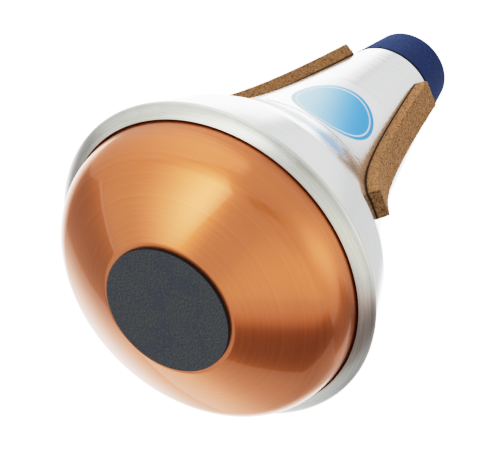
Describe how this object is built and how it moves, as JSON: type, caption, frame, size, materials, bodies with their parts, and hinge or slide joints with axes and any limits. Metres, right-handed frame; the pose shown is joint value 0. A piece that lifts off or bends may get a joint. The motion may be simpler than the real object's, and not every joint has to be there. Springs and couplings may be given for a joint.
{
  "type": "trumpet straight mute",
  "caption": "Cone-shaped straight mute for a trumpet, with a copper end, a turned rim, cork strips along its flare and a felt collar in its open tip.",
  "frame": {"origin": "centre of the underside of the end pad, which the mute stands on", "axes": "+Z along the mute's own axis from the pad to the open tip; the first cork strip lies 30 degrees from +X towards +Y"},
  "size_m": [0.109, 0.109, 0.1598],
  "materials": {
    "polished_aluminium": "polished, lightly lacquered",
    "spun_copper": "satin copper with fine spinning lines under clear lacquer",
    "turned_aluminium": "finely turned, matt",
    "pad_felt": "dense charcoal felt",
    "collar_felt": "navy felt with light fibres",
    "cork": "granular pressed cork",
    "label_film": "thin printed film"
  },
  "bodies": {
    "root": {"body_shell": "polished_aluminium", "copper_end": "spun_copper", "rim_ring": "turned_aluminium", "end_pad": "pad_felt", "tip_collar": "collar_felt", "cork_strip_1": "cork", "cork_strip_2": "cork", "cork_strip_3": "cork", "label_film": "label_film"}
  },
  "joints": []
}
